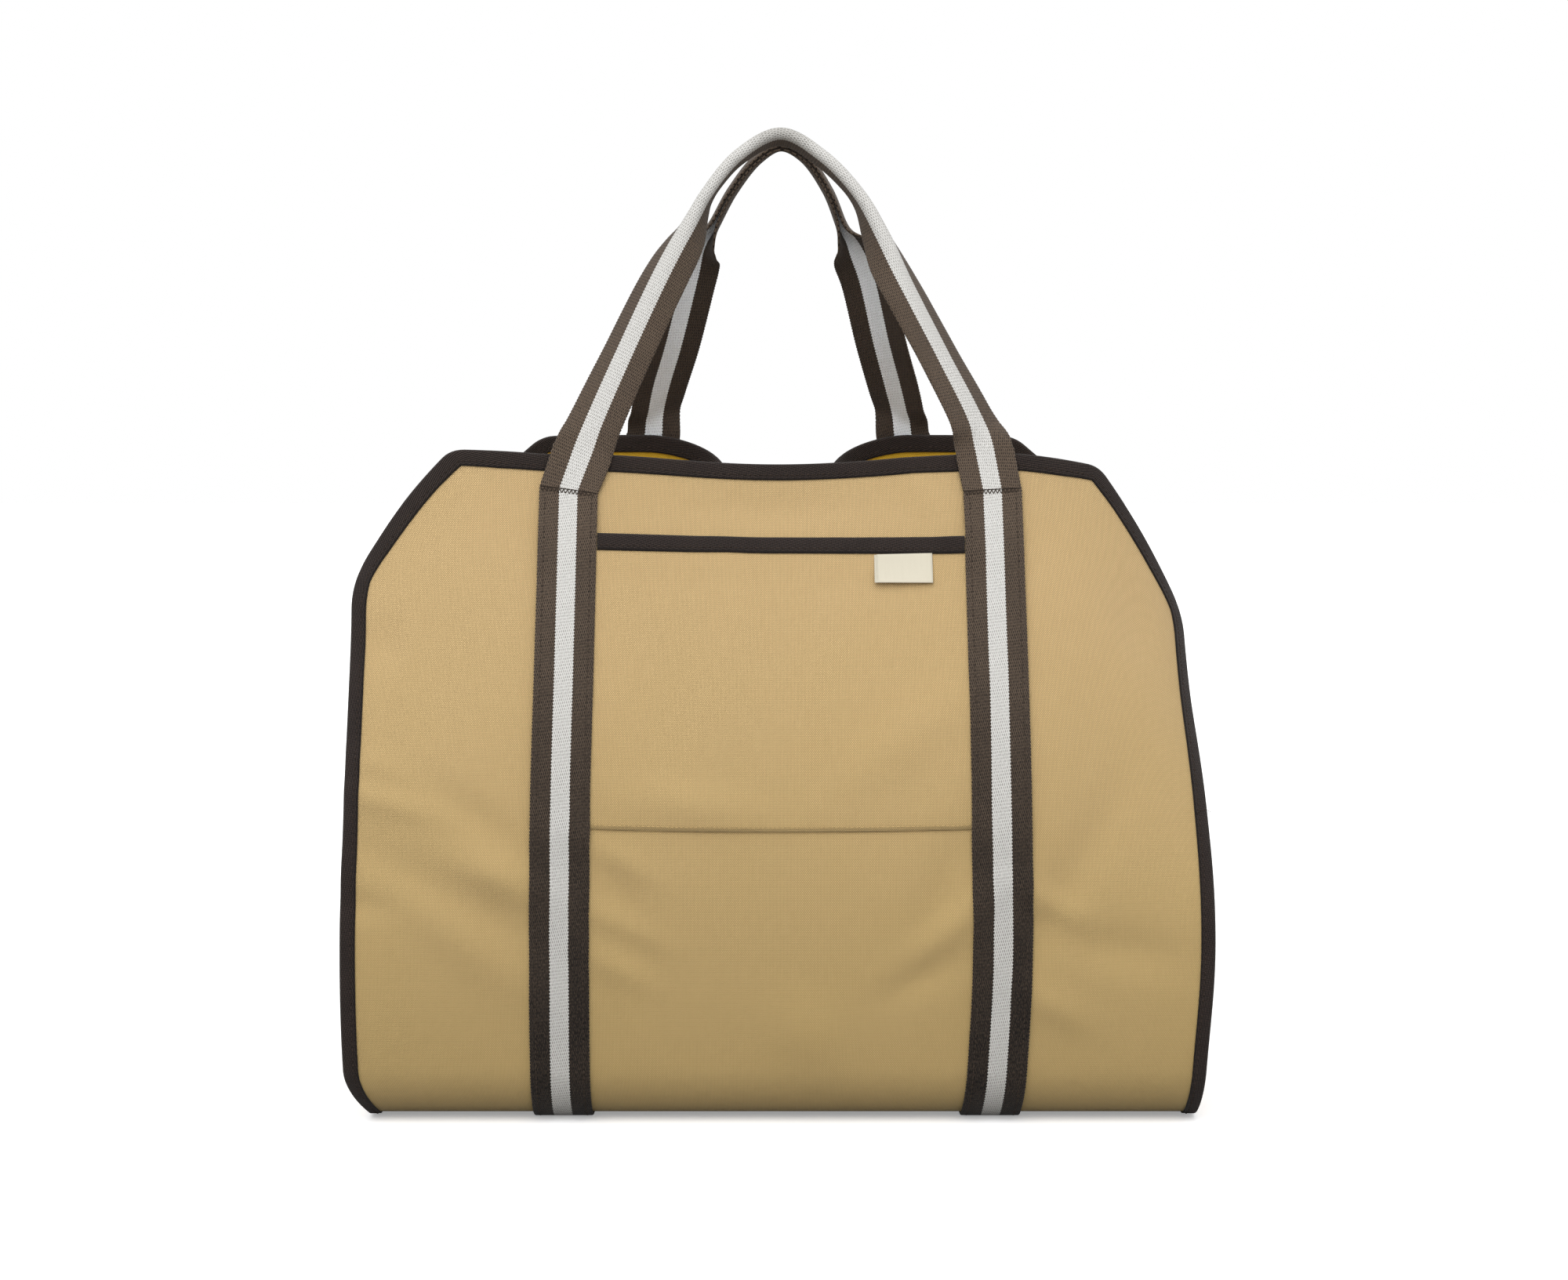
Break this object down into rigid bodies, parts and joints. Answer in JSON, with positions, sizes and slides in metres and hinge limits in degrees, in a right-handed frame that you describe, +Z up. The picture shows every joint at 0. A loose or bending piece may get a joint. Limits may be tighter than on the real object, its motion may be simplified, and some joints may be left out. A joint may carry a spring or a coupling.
{
  "type": "log carrier",
  "caption": "Canvas log carrier: an open-ended sling bound with dark tape, with a front pocket and striped webbing straps that end in looped handles.",
  "frame": {"origin": "centre of the carrier's footprint, on the floor that its bottom straps stand on", "axes": "+Z up, +X along the logs to the right as seen from the front, front panel with the pocket at -Y"},
  "size_m": [0.4712, 0.2659, 0.5439],
  "materials": {
    "canvas": "tan plain-weave canvas, mustard inside",
    "binding": "dark brown twill tape",
    "webbing": "dark brown webbing with an off-white middle stripe",
    "label": "cream woven label, bare"
  },
  "bodies": {
    "root": {"canvas_body": "canvas", "edge_binding": "binding", "pocket_panel": "canvas", "pocket_binding": "binding", "label": "label", "strap_left": "webbing", "strap_right": "webbing", "handle_front": "webbing", "handle_back": "webbing"}
  },
  "joints": []
}
